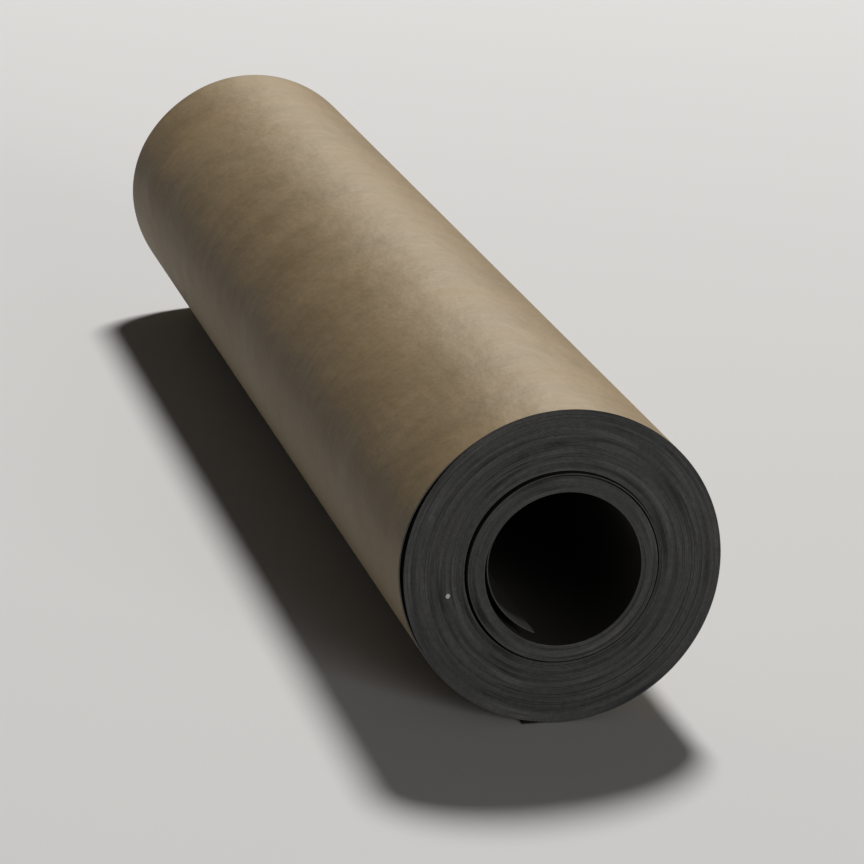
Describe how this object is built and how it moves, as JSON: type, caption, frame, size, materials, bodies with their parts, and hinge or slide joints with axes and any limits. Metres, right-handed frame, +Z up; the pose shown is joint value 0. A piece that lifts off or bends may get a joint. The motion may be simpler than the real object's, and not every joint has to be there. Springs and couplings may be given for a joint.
{
  "type": "roll of roofing felt",
  "caption": "Part-used roll of bitumen roofing felt lying on its side, with an open bore, wound turns at both ends and a free outer edge.",
  "frame": {"origin": "on the floor, under the middle of the lying roll", "axes": "+X along the roll's axis towards the end whose inner turns stand proud, +Y to its right seen from that end, +Z up"},
  "size_m": [0.9174, 0.1845, 0.1825],
  "materials": {
    "bitumen_felt": "satin"
  },
  "bodies": {
    "root": {"felt_roll": "bitumen_felt"}
  },
  "joints": []
}
